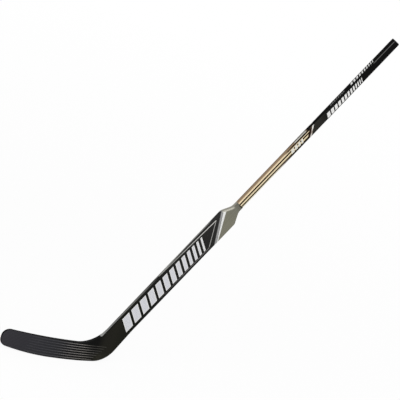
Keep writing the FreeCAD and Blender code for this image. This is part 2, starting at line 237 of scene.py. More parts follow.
class Places:
    """The measures of a point on the stick, each made once in a material's tree."""

    # On a narrow side the measure round the corner runs a little slower than the depth.
    SIDE_PACE = 0.92

    def __init__(self, tree: Tree) -> None:
        """Start with none made."""
        self.tree = tree
        self.made: dict[Measure, Socket] = {}

    def of(self, measure: Measure) -> Socket:
        """Give a measure, which is made when it is first asked for.

        Args:
            measure: The measure that is wanted.

        Returns:
            Its socket.
        """
        makers = {
            Measure.AROUND: self.measure_around,
            Measure.FACING: self.measure_facing,
            Measure.BLADE: self.measure_blade,
            Measure.HEIGHT: self.measure_blade,
        }
        if measure not in self.made:
            makers.get(measure, self.measure_stick)()
        return self.made[measure]

    def split(self, **mapping: Any) -> Any:
        """Split a point's place in the row frame into three measures.

        Args:
            mapping: How the place is moved, turned and scaled first.

        Returns:
            The three sockets.
        """
        here = add_node(self.tree, "ShaderNodeTexCoord", output="Object")
        mapped = add_node(self.tree, "ShaderNodeMapping", {"Vector": here, **mapping})
        return add_node(self.tree, "ShaderNodeSeparateXYZ", {0: mapped}).node.outputs

    def measure_stick(self) -> None:
        """Measure along, across and out of the stick by turning the row frame's place."""
        turn = Matrix(STICK.axes())
        shift = turn @ STICK.origin() * (-1 / MM)
        parts = self.split(Location=shift, Rotation=turn.to_euler(), Scale=[1 / MM] * 3)
        self.made.update(zip((Measure.ALONG, Measure.ACROSS, Measure.OUT), parts))

    def measure_blade(self) -> None:
        """Measure along the blade and above the ice."""
        parts = self.split(Location=(STICK.setback, 0.0, 0.0), Scale=(-1 / MM, 1 / MM, 1 / MM))
        self.made[Measure.BLADE], self.made[Measure.HEIGHT] = parts[0], parts[2]

    def measure_around(self) -> None:
        """Measure across the face, and go on down the narrow side towards its middle."""
        tree, slope = self.tree, STICK.taper()
        start = STICK.heel_half - slope * STICK.splice
        along, across = self.of(Measure.ALONG), self.of(Measure.ACROSS)
        half = calc(tree, "MULTIPLY_ADD", along, slope, start)
        half = calc(tree, "MAXIMUM", half, STICK.heel_half)
        half = calc(tree, "MINIMUM", half, STICK.shaft_half)
        depth = calc(tree, "ABSOLUTE", self.of(Measure.OUT))
        down = calc(tree, "SUBTRACT", half, depth)
        side = calc(tree, "SIGN", across)
        pace = calc(tree, "MULTIPLY", side, self.SIDE_PACE)
        self.made[Measure.AROUND] = calc(tree, "MULTIPLY_ADD", pace, down, across)

    def measure_facing(self) -> None:
        """Measure how squarely the surface faces front or back."""
        normal = add_node(self.tree, "ShaderNodeTexCoord", output="Normal")
        share = add_node(self.tree, VECTOR_MATH, [normal, STICK.axes()[2]], "Value", operation="DOT_PRODUCT")
        self.made[Measure.FACING] = calc(self.tree, "ABSOLUTE", share)


@dataclass(frozen=True)
class Tone:
    """A colour that may change along a measure.

    Attributes:
        stops: Places, rising, each with its hex colour. A single stop is a plain colour.
        measure: What the places are measured in.
    """

    stops: tuple[tuple[float, str], ...]
    measure: Measure = Measure.ALONG

    def colour(self, places: Places) -> Any:
        """Return the colour, as a value where it is plain and as a socket where it changes.

        Args:
            places: The measures of the surface.

        Returns:
            The colour.
        """
        (low, first), (high, last) = self.stops[0], self.stops[-1]
        if len(self.stops) == 1:
            return linear(first)
        share = remap(places.tree, places.of(self.measure), low, high)
        colour = add_node(places.tree, "ShaderNodeValToRGB", {0: share})
        elements = colour.node.color_ramp.elements
        elements[0].color, elements[1].color = linear(first), linear(last)
        for at, code in self.stops[1:-1]:
            elements.new((at - low) / (high - low)).color = linear(code)
        return colour


def plain(code: str) -> Tone:
    """Return a tone that is the same all over."""
    return Tone(((0.0, code),))


@dataclass(frozen=True)
class Limit:
    """A pair of edges that bounds a painted area.

    Attributes:
        measure: What the edges are measured in.
        low: The first edge.
        high: The second edge.
        lean: How far both edges shift per length of the other measure.
        by: The other measure.
        soft: Length of the change at each edge.
    """

    measure: Measure
    low: float
    high: float
    lean: float = 0.0
    by: Measure = Measure.AROUND
    soft: float = 1.0

    def mask(self, places: Places) -> Socket:
        """Return 1 between the edges and 0 outside them.

        Args:
            places: The measures of the surface.

        Returns:
            The mask.
        """
        tree, value, half = places.tree, places.of(self.measure), self.soft / 2
        if self.lean:
            value = calc(tree, "MULTIPLY_ADD", places.of(self.by), -self.lean, value)
        rise = remap(tree, value, self.low - half, self.low + half)
        fall = remap(tree, value, self.high + half, self.high - half)
        return calc(tree, "MULTIPLY", rise, fall)


@dataclass(frozen=True)
class PaintedArea:
    """One sprayed or masked area of a finish, laid over what is below it.

    Attributes:
        tone: Its colour.
        limits: The edges that bound it, all at once.
    """

    tone: Tone
    limits: tuple[Limit, ...]

    def lay(self, places: Places, under: Any) -> Socket:
        """Lay the area over a colour.

        Args:
            places: The measures of the surface.
            under: The colour below.

        Returns:
            The colour with the area on it.
        """
        mask: Any = 1.0
        for limit in self.limits:
            mask = calc(places.tree, "MULTIPLY", mask, limit.mask(places))
        top = self.tone.colour(places)
        return add_node(places.tree, "ShaderNodeMix", {0: mask, 6: under, 7: top}, 2, data_type="RGBA")


def painted(tone: Tone | str, *limits: Limit) -> PaintedArea:
    """Return a painted area.

    Args:
        tone: Its colour, or the hex code of a plain one.
        limits: The edges that bound it.

    Returns:
        The area.
    """
    return PaintedArea(plain(tone) if isinstance(tone, str) else tone, limits)


ALONG, AROUND, OUT, FACING = Measure.ALONG, Measure.AROUND, Measure.OUT, Measure.FACING
BLADE, HEIGHT = Measure.BLADE, Measure.HEIGHT
Areas = tuple[PaintedArea, ...]
# Beyond every edge of the stick, in mm.
FAR = 3000.0

# The rounded corners and narrow sides, which turn away from the wide faces.
TURNED_AWAY = Limit(FACING, -1.0, 0.8, soft=0.2)

# The grey strip on the paddle's narrow sides, which starts on the heel and fades out halfway up.
SIDE_STRIP = painted(
    Tone(((58, "#9a9a98"), (90, "#828280"), (130, "#747472"), (230, "#6d6d6a"), (290, "#5f5f5c"), (335, "#2c2c2b"))),
    Limit(ALONG, 62.0, 335.0, soft=5.0), Limit(AROUND, 44.4, FAR, soft=1.6), Limit(FACING, -1.0, 0.7, soft=0.2),
)

# Cream and brown lines along the shaft, with tan narrow sides. The near-white band next to the lower corner and the
# cream band over the upper rounded corner are painted highlights.
GOLD_LINES_AND_HIGHLIGHTS = Tone((
    (-22, "#8d7c68"), (-17, "#a3937c"), (-14.5, "#ece6d8"), (-8.1, "#e8e0cb"), (-7.4, "#2e2814"),
    (-2.0, "#29220e"), (-1.3, "#e0d0ad"), (4.0, "#e4d4b2"), (4.7, "#2a1d05"), (10.6, "#251904"),
    (11.3, "#e6d3b0"), (16.5, "#dcc7a4"), (18.5, "#9c8973"), (24.0, "#8b745c"),
), AROUND)


@dataclass(frozen=True)
class Finish:
    """One material of the stick.

    Attributes:
        name: The material's name.
        base: Its ground colour.
        areas: What is painted over the ground, in order.
        grains: Sizes of its grain along, across and out of the stick, in mm.
        shade: Brightness at the dark and the light end of its grain.
        roughness: Roughness at the two ends of its grain.
        relief: Depth of its grain, in mm.
        ior: Index of refraction.
        specular: Specular level, where 0.5 is the index's own reflection.
    """

    name: str = "finish"
    base: Tone = plain("#808080")
    areas: Areas = ()
    grains: Triple = (5.0, 5.0, 5.0)
    shade: Span = (0.94, 1.06)
    roughness: Span = (0.3, 0.4)
    relief: float = 0.02
    ior: float = 1.5
    specular: float = 0.5

    # The noise keeps mostly between these two values, which are spread to 0 and 1.
    NOISE_SPAN = (0.3, 0.7)
    NOISE_DETAIL = 3.0

    def grain(self, tree: Tree) -> Socket:
        """Return noise along the stick with this finish's grain, from 0 to 1.

        Args:
            tree: The material's node tree.

        Returns:
            The noise.
        """
        here = add_node(tree, "ShaderNodeTexCoord", output="Object")
        turned = add_node(tree, "ShaderNodeMapping", {"Vector": here, "Rotation": Matrix(STICK.axes()).to_euler()})
        counts = [1 / (size * MM) for size in self.grains]
        scaled = add_node(tree, VECTOR_MATH, [turned, counts], operation="MULTIPLY")
        noise = add_node(tree, "ShaderNodeTexNoise", {"Vector": scaled, "Scale": 1.0, "Detail": self.NOISE_DETAIL})
        return remap(tree, noise, *self.NOISE_SPAN)

    def material(self) -> bpy.types.Material:
        """Make the material at the first call and find it again later.

        Returns:
            The material.
        """
        made = bpy.data.materials.get(self.name)
        if made is not None:
            return made
        made = bpy.data.materials.new(self.name)
        tree = clear_nodes(made)
        places = Places(tree)
        colour = self.base.colour(places)
        for area in self.areas:
            colour = area.lay(places, colour)
        grain = self.grain(tree)
        level = remap(tree, grain, 0.0, 1.0, *self.shade)
        colour = add_node(
            tree, "ShaderNodeMix", {0: 1.0, 6: colour, 7: level}, 2, data_type="RGBA", blend_type="MULTIPLY")
        rough = remap(tree, grain, 0.0, 1.0, *self.roughness)
        bump = add_node(tree, "ShaderNodeBump", {"Strength": 1.0, "Distance": self.relief * MM, "Height": grain})
        shader = add_node(tree, "ShaderNodeBsdfPrincipled", {
            "Base Color": colour,
            "Roughness": rough,
            "IOR": self.ior,
            "Specular IOR Level": self.specular,
            "Normal": bump,
        })
        add_node(tree, "ShaderNodeOutputMaterial", {"Surface": shader})
        return made


@dataclass(frozen=True)
class PaddleLacquer(Finish):
    """Two-pack lacquer, sprayed and masked over graphite sheet."""

    # It gives the eye a satin black that greys towards the shoulder, slanted grey and white bands, an olive-grey
    #     # shoulder with a painted highlight as a light rim on its narrow sides and painted shade on their far half,
    #     fine
    #     # pinstripes that run off over the rounded corner, and faint fibre streaks.
    name: str = "two_pack_lacquer_paddle"
    base: Tone = Tone(((40, "#14150f"), (180, "#151612"), (340, "#1a1a19"), (520, "#222221"), (620, "#2b2a2a")))
    areas: Areas = (
        SIDE_STRIP,
        # The far half of the narrow sides, above the strip.
        painted(
            Tone(((335, "#6a6a67"), (440, "#666663"), (500, "#757572"), (560, "#8a8a87"), (605, "#72726f"))),
            Limit(ALONG, 330.0, 600.0, soft=20.0), Limit(OUT, -FAR, -1.2), TURNED_AWAY,
        ),
        # The upper pinstripe, which runs off over the corner.
        painted(
            Tone(((345, "#94948f"), (480, "#b0b0ac"), (617, "#d0cfcb"))),
            Limit(AROUND, 61.7, 64.7, lean=-0.0437, by=ALONG), Limit(ALONG, 345.0, 617.0),
        ),
        # The slanted pinstripe that meets it.
        painted("#a3a29f", Limit(ALONG, 567.6, 571.6, lean=1.316), Limit(AROUND, -26.0, 34.0)),
        # The lower pinstripe.
        painted(
            Tone(((270, "#1c1c1b"), (400, "#565454"), (470, "#6b6968"), (535, "#706e6d"))),
            Limit(AROUND, -29.6, -26.6), Limit(ALONG, 270.0, 534.0),
        ),
        # The slanted bands: grey, a lighter line in it, white, and the olive-grey shoulder.
        painted("#7e7e7d", Limit(ALONG, 594.5, FAR, lean=1.185, soft=1.5)),
        painted("#a9a9a9", Limit(ALONG, 599.5, 603.5, lean=1.185, soft=1.5)),
        painted("#e2e2e0", Limit(ALONG, 608.5, FAR, lean=1.185)),
        painted(
            Tone(((560, "#747266"), (640, "#797769"), (690, "#76756a"), (712, "#64635a"))),
            Limit(ALONG, 619.5, FAR, lean=1.37),
        ),
        # A painted highlight as a light rim on the shoulder's narrow sides, and painted shade on their far half.
        painted("#b9b7ab", TURNED_AWAY, Limit(ALONG, 654.0, 692.0, soft=8.0), Limit(OUT, 2.5, FAR)),
        painted("#8f8d83", TURNED_AWAY, Limit(ALONG, 654.0, 715.0, soft=4.0), Limit(OUT, -FAR, 2.5)),
        # A dark line at the neck, and the start of the shaft's gold part.
        painted("#3d3a30", Limit(ALONG, 706.5, FAR, soft=3.0), Limit(AROUND, -FAR, 8.0, soft=4.0)),
        painted(GOLD_LINES_AND_HIGHLIGHTS, Limit(ALONG, 711.2, FAR)),
    )
    grains: Triple = (90.0, 1.6, 1.6)
    shade: Span = (0.86, 1.14)
    roughness: Span = (0.32, 0.44)
    specular: float = 0.03


@dataclass(frozen=True)
class ShaftLacquer(Finish):
    """Pearl gold lacquer over graphite sheet, and gloss black above a slanted white stripe."""

    # It gives the eye cream and brown lines along the gold part with painted highlights on its corners, tan narrow
    # sides,
    #     # painted shade on the lower corner towards the grip, and a black grip with a painted highlight line near the
    #     butt.
    name: str = "pearl_lacquer_shaft"
    base: Tone = GOLD_LINES_AND_HIGHLIGHTS
    areas: Areas = (
        # The far half of the upper narrow side, which is in shade.
        painted("#6f5f4d", Limit(OUT, -9.0, -4.0, soft=2.0), Limit(AROUND, 11.0, FAR, soft=2.0)),
        # The lower corner: a pale painted reflection at its start, then painted shade that darkens it towards the grip.
        painted(
            Tone(((870, "#cfc6b6"), (915, "#8a7f78"), (960, "#2b2823"), (1050, "#1d1b18"))),
            Limit(AROUND, -FAR, -7.0), Limit(ALONG, 890.0, FAR, soft=60.0),
        ),
        # The dark stripe on the upper corner.
        painted(
            Tone(((945, "#6b5b47"), (980, "#20170d"), (1070, "#120c06"))),
            Limit(AROUND, 13.8, 20.8), Limit(ALONG, 945.0, 1070.0, soft=20.0),
        ),
        # The pale patch on the upper narrow side.
        painted("#b1afa8", Limit(AROUND, 20.9, FAR), Limit(ALONG, 992.0, 1048.0, soft=6.0)),
        # The slanted stripes, brown and white, and the black grip above them.
        painted("#24160e", Limit(ALONG, 1041.0, FAR, lean=1.15, soft=3.0), Limit(AROUND, -FAR, 17.5)),
        painted(
            Tone(((-14, "#e6e5e1"), (-5, "#cbc3ba"), (0, "#95877e"), (5, "#b9b0a8"), (10, "#e4e3df")), AROUND),
            Limit(ALONG, 1055.4, FAR, lean=1.15), Limit(AROUND, -FAR, 19.0),
        ),
        painted(
            Tone(((1062, "#292823"), (1105, "#282724"), (1140, "#141413"), (1200, "#090909"))),
            Limit(ALONG, 1062.4, FAR, lean=1.15),
        ),
        # The grip's upper narrow side, which starts lower and has no stripes.
        painted("#090908", Limit(ALONG, 1051.0, FAR, soft=8.0), Limit(AROUND, 18.5, FAR)),
        # A painted highlight along the upper corner near the butt.
        painted("#5a5a59", Limit(AROUND, 12.4, 15.4), Limit(ALONG, 1374.0, 1476.0, soft=8.0)),
    )
    grains: Triple = (70.0, 1.2, 1.2)
    shade: Span = (0.92, 1.08)
    roughness: Span = (0.26, 0.38)
    relief: float = 0.015
    specular: float = 0.03


@dataclass(frozen=True)
class WovenLaminate(Finish):
    """Twill carbon cloth, laid up under clear resin.

    Attributes:
        tow: Width of a tow, in mm.
    """

    # It gives the eye a warm black heel that turns towards the toe to a bluish grey, which is a painted reflection,
    #     # a faint twill, and darker rims where the surface turns away from the faces. A real tow is about 2 mm wide,
    #     and is
    #     # drawn twice that so that it shows.
    name: str = "twill_carbon_laminate"
    # The bluish grey towards the toe is a painted reflection.
    base: Tone = Tone(
        ((-60, "#14150f"), (-10, "#1e1d17"), (20, "#1c1b16"), (46, "#0a0a09"), (75, "#0b0b0a"), (150, "#151516"),
         (178, "#222224"), (200, "#2b2b2e"), (250, "#2f2f33"), (400, "#363539")), BLADE)
    areas: Areas = (
        # The lower part of the heel, which is a little lighter.
        painted("#27261f", Limit(BLADE, 5.0, 44.0, soft=30.0), Limit(HEIGHT, -FAR, 32.0, soft=16.0)),
        # Darker where the surface turns away from the faces, which fades out towards the paddle.
        painted("#0a0a09", Limit(FACING, -1.0, 0.86, soft=0.12), Limit(ALONG, -FAR, 90.0, soft=80.0)),
        SIDE_STRIP,
    )
    shade: Span = (0.97, 1.03)
    roughness: Span = (0.34, 0.44)
    relief: float = 0.03
    specular: float = 0.04
    tow: float = 4.0

    # The twill repeats after four tows and passes over the first two of them, numbered from 0.
    REPEAT = 4.0
    OVER = 1.5

    def grain(self, tree: Tree) -> Socket:
        """Weave a two-over-two twill.

        Args:
            tree: The material's node tree.

        Returns:
            1 on a tow along the blade and 0 on one across it.
        """
        places = Places(tree)
        cells = []
        for measure in (BLADE, HEIGHT):
            scaled = calc(tree, "DIVIDE", places.of(measure), self.tow)
            cells.append(calc(tree, "FLOOR", scaled))
        step = calc(tree, "ADD", cells[0], cells[1])
        phase = calc(tree, "FLOORED_MODULO", step, self.REPEAT)
        return calc(tree, "LESS_THAN", phase, self.OVER)


@dataclass(frozen=True)
class HardEdging(Finish):
    """Moulded ABS edging, and the heel's hardwood lacquered to match."""

    # It gives the eye a dull black rim with a moulded grain, which is finer in fact and is drawn so that it shows.
    name: str = "moulded_abs_edging"
    base: Tone = plain("#0f0f0e")
    areas: Areas = (SIDE_STRIP,)
    grains: Triple = (1.5, 1.5, 1.5)
    shade: Span = (0.8, 1.2)
    roughness: Span = (0.42, 0.56)
    specular: float = 0.04


@dataclass(frozen=True)
class PrintedFoil(Finish):
    """Hot-stamped film, brushed across the stick."""

    # It gives the eye a pale satin bar with brushed streaks, which are finer in fact and are drawn so that they show.
    name: str = "hot_stamped_film"
    grains: Triple = (1.5, 25.0, 25.0)
    shade: Span = (0.95, 1.04)
    roughness: Span = (0.34, 0.46)
    relief: float = 0.01
    specular: float = 0.3


@dataclass(frozen=True)
class RidgeResin(Finish):
    """Clear resin beads over glass thread, cured on the blade."""

    # It gives the eye fine light lines that sink into the grey of the cloth towards the toe.
    name: str = "glass_thread_resin"
    base: Tone = Tone(
        ((15, "#3a3833"), (40, "#55524d"), (60, "#615e59"), (75, "#6f6c67"), (92, "#827e79"), (150, "#7a7776"),
         (178, "#5b5a5c"), (200, "#424246"), (240, "#38383d"), (300, "#37363b"), (400, "#363539")), BLADE)
    areas: Areas = (
        # Next to the heel the beads are dark, and for longer towards the top.
        painted("#34322d", Limit(BLADE, -FAR, 22.0, lean=1.0, by=HEIGHT, soft=40.0)),
    )
    grains: Triple = (3.0, 3.0, 3.0)
    shade: Span = (0.82, 1.1)
    roughness: Span = (0.3, 0.45)
    specular: float = 0.2


@dataclass(frozen=True)
class AspenSpine(Finish):
    """Planed aspen, lacquered black at the butt."""

    # It gives the eye pale straight grain inside the stick and a black end at the top.
    name: str = "aspen_spine"
    base: Tone = plain("#c3a97e")
    areas: Areas = (painted("#101010", Limit(ALONG, 1474.0, FAR)),)
    grains: Triple = (180.0, 2.5, 2.5)
    shade: Span = (0.78, 1.08)
    roughness: Span = (0.45, 0.6)
    relief: float = 0.05
    specular: float = 0.15


@dataclass(frozen=True)
class RigidFoam(Finish):
    """Closed-cell polyurethane foam, cut to shape.

    Attributes:
        cell: Size of a cell, in mm.
    """

    # It gives the eye a pale buff block with open cells. A real one is about 0.4 mm wide, and is drawn three times that
    # so that it shows.
    name: str = "rigid_pu_foam"
    base: Tone = plain("#cdb87e")
    shade: Span = (0.75, 1.1)
    roughness: Span = (0.7, 0.9)
    relief: float = 0.3
    specular: float = 0.2
    cell: float = 1.2

    def grain(self, tree: Tree) -> Socket:
        """Return the cut cells, dark at their middles."""
        here = add_node(tree, "ShaderNodeTexCoord", output="Object")
        return add_node(tree, "ShaderNodeTexVoronoi", {"Vector": here, "Scale": 1 / (self.cell * MM)})


@dataclass(frozen=True)
class GlassRib(Finish):
    """Pultruded glass fibre."""

    # It gives the eye a green-grey strip with straight fibres.
    name: str = "pultruded_glass_fibre"
    base: Tone = plain("#aab7a8")
    grains: Triple = (4.0, 60.0, 0.8)
    shade: Span = (0.8, 1.12)
    relief: float = 0.05


def dress(nodes: list[str], finish: Finish) -> None:
    """Give CAD nodes a finish.

    Args:
        nodes: The nodes' names.
        finish: Their finish.
    """
    for name in nodes:
        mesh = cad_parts[name].data
        mesh.materials.clear()
        mesh.materials.append(finish.material())
        LOG.info("dressed %s in %s", name, finish.name)


def new_tree(name: str, sockets: dict[str, str]) -> tuple[Tree, dict[str, Socket]]:
    """Start a geometry tree.

    Args:
        name: The tree's name.
        sockets: Its inputs' names and kinds of value.

    Returns:
        The tree, and the sockets of its inputs by name.
    """
    tree = bpy.data.node_groups.new(name, "GeometryNodeTree")
    tree.interface.new_socket("Geometry", in_out="OUTPUT", socket_type="NodeSocketGeometry")
    for label, kind in sockets.items():
        tree.interface.new_socket(label, in_out="INPUT", socket_type=f"NodeSocket{kind}")
    group = tree.nodes.new("NodeGroupInput")
    return tree, {label: group.outputs[label] for label in sockets}


def close_tree(tree: Tree, geometry: Socket, material: Socket) -> None:
    """End a geometry tree in real geometry with its material.

    Args:
        tree: The geometry tree.
        geometry: What it has made.
        material: The material that it was given.
    """
    real = add_node(tree, "GeometryNodeRealizeInstances", {0: geometry})
    painted = add_node(tree, "GeometryNodeSetMaterial", {"Geometry": real, "Material": material})
    add_node(tree, "NodeGroupOutput", {0: painted})


def grow(name: str, tree: Tree, values: dict[str, Any]) -> None:
    """Make a piece with a geometry tree, turn it into a plain mesh and let it ride on the stick.

    Args:
        name: The piece's name.
        tree: The geometry tree.
        values: Values of the tree's inputs, by name.
    """
    piece = add_object(name, bpy.data.meshes.new(f"{name}_start"))
    modifier = piece.modifiers.new(name, "NODES")
    modifier.node_group = tree
    for item in tree.interface.items_tree:
        if item.in_out == "INPUT":
            modifier[item.identifier] = values[item.name]
    bpy.context.view_layer.update()
    made = piece.evaluated_get(bpy.context.evaluated_depsgraph_get())
    mesh = bpy.data.meshes.new_from_object(made)
    piece.modifiers.clear()
    piece.data = mesh
    mesh.name = name
    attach(piece, BODY)
    LOG.info("made %s: %d faces", name, len(mesh.polygons))


class BarTree:
    """A row of slanted bars of thin film, whose widths grow or shrink evenly along the row."""

    SOCKETS = {
        "Count": "Int",
        **dict.fromkeys(("Start", "Gap", "First Width", "Last Width", "Height", "Film", "Lean"), "Float"),
        **dict.fromkeys(("Origin", "Along", "Across", "Outward"), "Vector"),
        "Mirrored": "Bool",
        "Material": "Material",
    }

    def build(self) -> Tree:
        """Build the tree.

        Returns:
            The geometry tree.
        """
        tree, given = new_tree("slanted_bars", self.SOCKETS)
        index = add_node(tree, "GeometryNodeInputIndex")
        gaps = calc(tree, "SUBTRACT", given["Count"], 1.0)
        change = calc(tree, "SUBTRACT", given["Last Width"], given["First Width"])
        step = calc(tree, "DIVIDE", change, gaps)
        width = calc(tree, "MULTIPLY_ADD", index, step, given["First Width"])
        # The bars before this one are as wide, on the mean, as the first one and half of all steps between.
        before = calc(tree, "SUBTRACT", index, 1.0)
        half = calc(tree, "MULTIPLY", before, 0.5)
        mean = calc(tree, "MULTIPLY_ADD", half, step, given["First Width"])
        pitch = calc(tree, "ADD", mean, given["Gap"])
        run = calc(tree, "MULTIPLY_ADD", index, pitch, given["Start"])
        centre = calc(tree, "MULTIPLY_ADD", width, 0.5, run)
        row = add_node(tree, "GeometryNodeMeshLine", {"Count": given["Count"], "Offset": (0.0, 0.0, 0.0)})
        place = add_node(tree, "ShaderNodeCombineXYZ", {0: centre})
        row = add_node(tree, "GeometryNodeSetPosition", {"Geometry": row, "Position": place})
        cube = add_node(tree, "GeometryNodeMeshCube", {"Size": (1.0, 1.0, 1.0)})
        size = add_node(tree, "ShaderNodeCombineXYZ", {0: width, 1: given["Height"], 2: given["Film"]})
        bars = add_node(tree, "GeometryNodeInstanceOnPoints", {"Points": row, "Instance": cube, "Scale": size})
        bars = add_node(tree, "GeometryNodeRealizeInstances", {0: bars})
        here = add_node(tree, "GeometryNodeInputPosition")
        local = add_node(tree, "ShaderNodeSeparateXYZ", {0: here}).node.outputs
        leaned = calc(tree, "MULTIPLY_ADD", local[1], given["Lean"], local[0])
        spot = given["Origin"]
        for axis, amount in (("Along", leaned), ("Across", local[1]), ("Outward", local[2])):
            moved = add_node(tree, VECTOR_MATH, {0: given[axis], "Scale": amount}, operation="SCALE")
            spot = add_node(tree, VECTOR_MATH, [spot, moved], operation="ADD")
        bars = add_node(tree, "GeometryNodeSetPosition", {"Geometry": bars, "Position": spot})
        # Left-handed axes turn the bars inside out, so that their faces are flipped back.
        bars = add_node(tree, "GeometryNodeFlipFaces", {"Mesh": bars, "Selection": given["Mirrored"]})
        close_tree(tree, bars, given["Material"])
        return tree


@dataclass(frozen=True)
class BarRow:
    """One printed row of slanted bars.

    Attributes:
        count: Number of bars.
        start: Where the row starts along the stick, in mm.
        gap: Space between bars, in mm.
        widths: Widths of the first and last bar, in mm.
        height: Size of each bar across the stick, in mm.
        tone: The film's hex colour.
        middle: The row's middle line across the stick, in mm.
        lean: How far a bar leans along the stick per length across.
        film: Thickness of the film, half of it sunk in the lacquer, in mm.
    """

    count: int
    start: float
    gap: float
    widths: Span
    height: float
    tone: str
    middle: float = 0.0
    lean: float = 0.45
    film: float = 0.2

    def inset(self, margin: float, film: float, tone: str) -> "BarRow":
        """Return a row that lies within this one's bars.

        Args:
            margin: The border that stays of each bar, in mm.
            film: Thickness of the new film, in mm.
            tone: The new film's hex colour.

        Returns:
            The new row.
        """
        side = margin * math.hypot(1.0, self.lean)
        widths = (self.widths[0] - 2 * side, self.widths[1] - 2 * side)
        return BarRow(
            self.count, self.start + side, self.gap + 2 * side, widths, self.height - 2 * margin, tone,
            self.middle, self.lean, film)

    def lay(self, name: str, tree: Tree, spot: Vector, axes: Axes, slot: str) -> None:
        """Print the row on a face.

        Args:
            name: The piece's name.
            tree: The tree of slanted bars.
            spot: The face's zero point on the stick's middle line, in metres.
            axes: The face's directions along, across and outward.
            slot: Name of a material slot, which is not used.
        """
        film = PrintedFoil(name=f"hot_stamped_film_{self.tone[1:]}", base=plain(self.tone))
        grow(name, tree, {
            "Count": self.count,
            "Start": self.start * MM,
            "Gap": self.gap * MM,
            "First Width": self.widths[0] * MM,
            "Last Width": self.widths[1] * MM,
            "Height": self.height * MM,
            "Film": self.film * MM,
            "Lean": self.lean,
            "Origin": spot + axes[1] * (self.middle * MM),
            "Along": axes[0],
            "Across": axes[1],
            "Outward": axes[2],
            "Mirrored": axes[0].cross(axes[1]).dot(axes[2]) < 0,
            "Material": film.material(),
        })


@dataclass
class Shaft:
    """The shaft above the paddle, with its printed rows.

    Attributes:
        width: Size across the wide face, in mm.
        face_row: The row on each wide face.
        face_short_row: A short row below it, across the gold lines.
        side_row: The row on each narrow side.
        side_small_row: A faint small row below it.
    """

    width: float = 29.0
    face_row: BarRow = BarRow(13, 1136.0, 5.0, (14.0, 3.0), 18.0, "#e2e2e0")
    face_short_row: BarRow = BarRow(4, 962.0, 5.0, (13.0, 8.0), 15.5, "#dad8ce", middle=3.6)
    side_row: BarRow = BarRow(10, 1268.0, 5.5, (9.0, 3.0), 9.0, "#d6d6d4")
    side_small_row: BarRow = BarRow(8, 1168.0, 3.5, (6.0, 5.0), 6.0, "#5a5a59")

    def paint(self) -> None:
        """Dress the shaft's nodes."""
        shell = ("upper_edge_ply", "lower_edge_ply", "front_laminate", "back_laminate")
        dress([f"shaft_{name}" for name in shell], ShaftLacquer())
        dress(["shaft_core"], AspenSpine())

    def print_rows(self, bars: Tree) -> None:
        """Print the rows on both faces and both narrow sides.

        Args:
            bars: The tree of slanted bars.
        """
        along, across, outward = STICK.axes()
        for face in Face:
            spot = STICK.point(0.0, 0.0, face.value * STICK.shaft_half)
            axes = (along, across, outward * face.value)
            for kind, row in (("bars", self.face_row), ("short_bars", self.face_short_row)):
                row.lay(f"shaft_{kind}_{face.name.lower()}", bars, spot, axes, "shaft_face")
        for side in Side:
            spot = STICK.point(0.0, side.value * self.width / 2, 0.0)
            axes = (along, outward * -side.value, across * side.value)
            for kind, row in (("bars", self.side_row), ("small_bars", self.side_small_row)):
                row.lay(f"shaft_{side.name.lower()}_side_{kind}", bars, spot, axes, "shaft_edge")


@dataclass
class Paddle:
    """The paddle, from the heel's splice to the shaft, with its printed rows.

    Attributes:
        row: The row of bars on each wide face.
        border: Width of the white border round each bar, in mm.
        inlay_film: Thickness of the silver film inside the border, in mm.
        inlay_tone: Its hex colour.
    """

    row: BarRow = BarRow(13, 142.0, 10.5, (33.0, 7.5), 55.0, "#e4e4e2", middle=4.0, lean=0.42)
    border: float = 2.2
    inlay_film: float = 0.3
    inlay_tone: str = "#cfd0d5"

    def paint(self) -> None:
        """Dress the paddle's nodes."""
        shell = ("upper_edge_rail", "lower_edge_rail", "upper_shoulder_block", "lower_shoulder_block",
                 "front_laminate", "back_laminate")
        dress([f"paddle_{name}" for name in shell], PaddleLacquer())
        dress(["paddle_upper_foam_core", "paddle_lower_foam_core"], RigidFoam())

    def print_rows(self, bars: Tree) -> None:
        """Print a row of silver bars with white borders on both tapered faces.

        Args:
            bars: The tree of slanted bars.
        """
        along, across, outward = STICK.axes()
        slope = STICK.taper()
        level = STICK.heel_half - slope * STICK.splice
        inlay = self.row.inset(self.border, self.inlay_film, self.inlay_tone)
        for face in Face:
            axes = (
                (along + outward * (face.value * slope)).normalized(),
                across,
                (outward * face.value - along * slope).normalized(),
            )
            spot = STICK.point(0.0, 0.0, face.value * level)
            self.row.lay(f"paddle_bar_borders_{face.name.lower()}", bars, spot, axes, "paddle_face")
            inlay.lay(f"paddle_bars_{face.name.lower()}", bars, spot, axes, "paddle_face")


